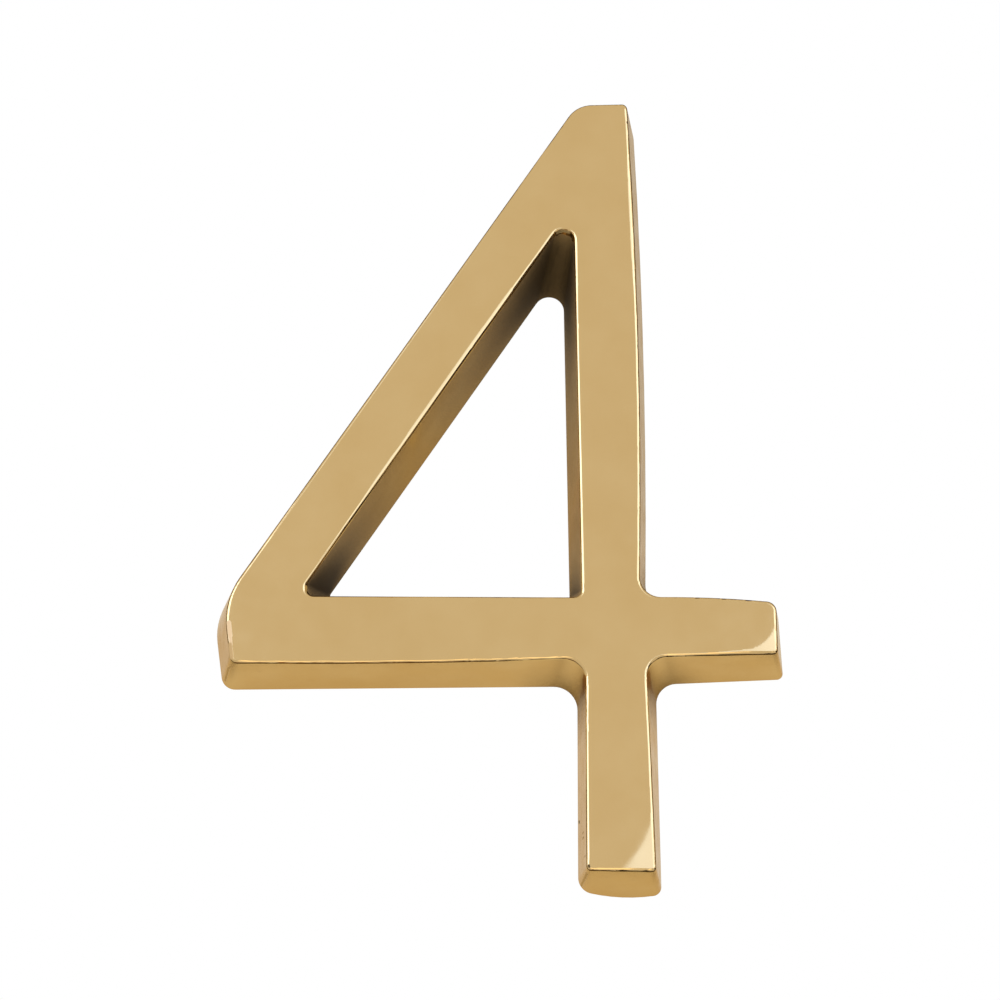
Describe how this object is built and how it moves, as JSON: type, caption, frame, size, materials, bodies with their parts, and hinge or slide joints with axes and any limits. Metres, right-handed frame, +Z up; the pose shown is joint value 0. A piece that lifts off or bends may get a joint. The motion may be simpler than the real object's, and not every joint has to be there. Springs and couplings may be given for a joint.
{
  "type": "house number",
  "caption": "Numeral 4 house number, cast in one piece of satin brass with drafted sides and softened edges, flat at the back with tapped blind holes for wall studs.",
  "frame": {"origin": "on the flat back, which is the wall plane, where the middle of the stem crosses the middle of the bar", "axes": "+Z up the numeral, +Y into the wall, show face towards -Y, +X to the reader's right"},
  "size_m": [0.088, 0.012, 0.1272],
  "materials": {
    "satin_brass": "satin polished, with bright edges; the back is linished"
  },
  "bodies": {
    "root": {"number_four": "satin_brass"}
  },
  "joints": []
}
